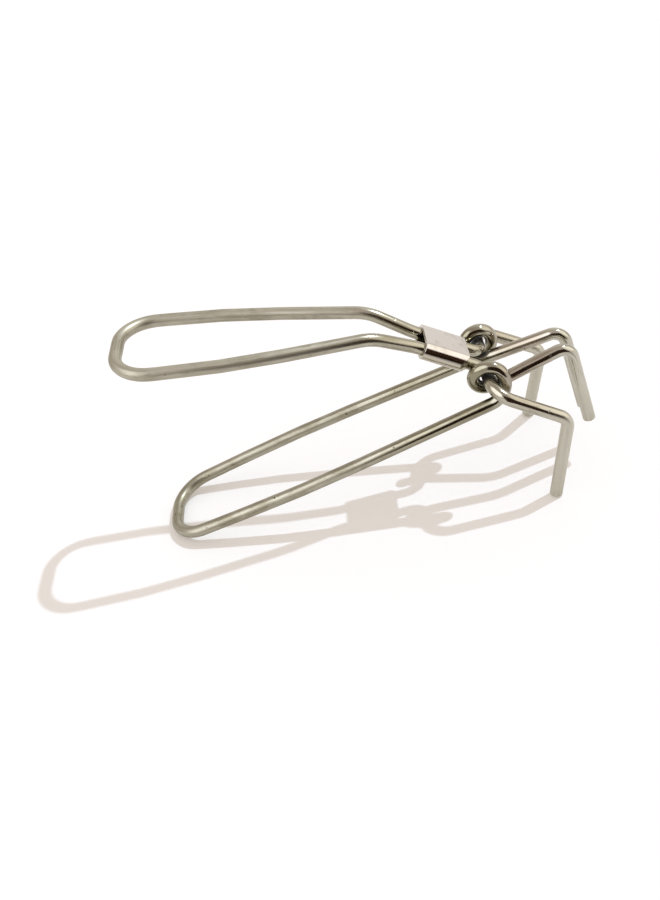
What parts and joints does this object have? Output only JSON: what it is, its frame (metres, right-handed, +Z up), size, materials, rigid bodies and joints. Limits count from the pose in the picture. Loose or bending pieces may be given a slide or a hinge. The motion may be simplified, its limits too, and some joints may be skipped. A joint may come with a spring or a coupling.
{
  "type": "clothespin",
  "caption": "Wire clothespin: two bent wire loops as handles, hinged on coiled rings and a crimped sleeve, with inner and outer tines.",
  "frame": {"origin": "centre of the base of the bounding box: on the plane of symmetry, midway between the loop ends and the front of the inner tines, at the height of the surface that the clothespin stands on", "axes": "+X from the handles to the tines, +Y across the loops to the left, +Z up; the clothespin stands on the end of its lower loop and on its two outer tines"},
  "size_m": [0.1084, 0.0354, 0.0539],
  "materials": {
    "bright_wire": "polished plated wire with a warm grey cast",
    "sheet_sleeve": "satin plated sheet, glossier on its rounded sides",
    "dull_wire": "plated wire, slightly duller and greener, with fine pitting"
  },
  "bodies": {
    "lower_handle": {"lower_wire": "dull_wire"},
    "upper_handle": {"upper_wire": "bright_wire", "sleeve": "sheet_sleeve"}
  },
  "joints": [
    {"name": "hinge", "type": "hinge", "parent": "lower_handle", "child": "upper_handle", "pos_m": [0.02913, 0, 0.03099], "axis": [0, 1, 0], "range_deg": [-32, 125]}
  ]
}
